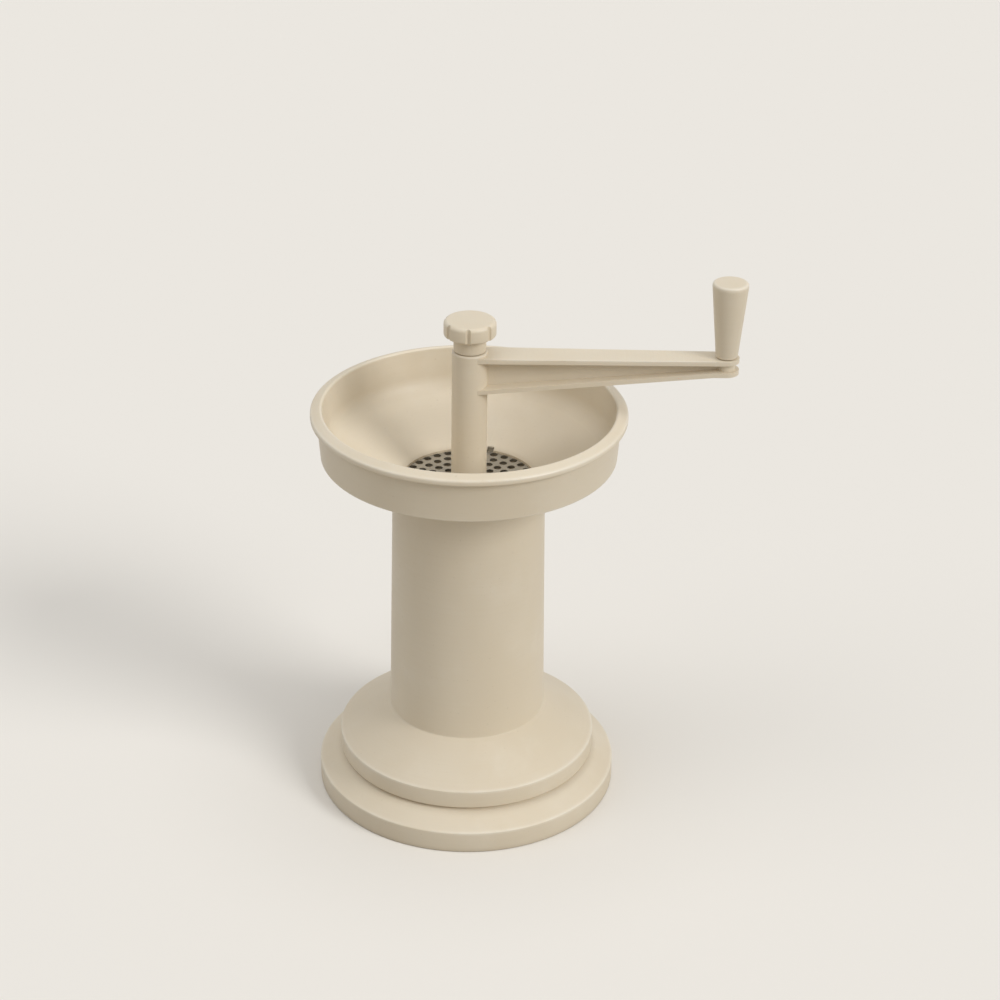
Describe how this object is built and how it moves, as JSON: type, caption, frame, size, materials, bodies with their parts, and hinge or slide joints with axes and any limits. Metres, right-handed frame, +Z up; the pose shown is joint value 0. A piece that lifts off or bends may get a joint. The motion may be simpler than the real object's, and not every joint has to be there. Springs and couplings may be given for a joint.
{
  "type": "baby food grinder",
  "caption": "Hand-turned baby food grinder: a bowl and tube moulding slides over a piston on a round base, and a crank turns a cutter under a perforated strainer.",
  "frame": {"origin": "on the common axis of base, tube and crank, in the plane of the base's foot", "axes": "+Z up along that axis, +X along the crank arm at rest, -Y towards the viewer of the picture"},
  "size_m": [0.1616, 0.1194, 0.2132],
  "materials": {
    "cream_plastic": "satin moulded, warm ivory",
    "natural_plastic": "natural nylon",
    "strainer_steel": "punched sheet steel",
    "steel": "bright steel"
  },
  "bodies": {
    "base": {"plunger_base": "cream_plastic"},
    "housing": {"housing": "cream_plastic", "strainer_disc": "strainer_steel", "strainer_bush": "natural_plastic"},
    "crank": {"crank_arm": "cream_plastic", "grip_pin": "steel"},
    "grip": {"crank_grip": "cream_plastic"},
    "knob": {"thumb_knob": "cream_plastic", "knob_screw": "steel"},
    "cutter": {"cutter_stem": "natural_plastic", "cutter_blade": "steel", "blade_rivets": "steel"}
  },
  "joints": [
    {"name": "housing_lift", "type": "slide", "parent": "base", "child": "housing", "axis": [0, 0, 1], "range_m": [0, 0.1]},
    {"name": "crank_spin", "type": "hinge", "parent": "housing", "child": "crank", "pos_m": [0, 0, 0.16], "axis": [0, 0, 1], "continuous": true},
    {"name": "grip_spin", "type": "hinge", "parent": "crank", "child": "grip", "pos_m": [0.0952, 0, 0.195], "axis": [0, 0, 1], "continuous": true},
    {"name": "knob_turn", "type": "hinge", "parent": "crank", "child": "knob", "pos_m": [0, 0, 0.19], "axis": [0, 0, 1], "range_deg": [0, 1440]},
    {"name": "cutter_drop", "type": "slide", "parent": "crank", "child": "cutter", "axis": [0, 0, -1], "range_m": [0, 0.003]}
  ],
  "couplings": [
    {"joint": "cutter_drop", "follows": "knob_turn", "m_per_rad": 0.00011141}
  ]
}
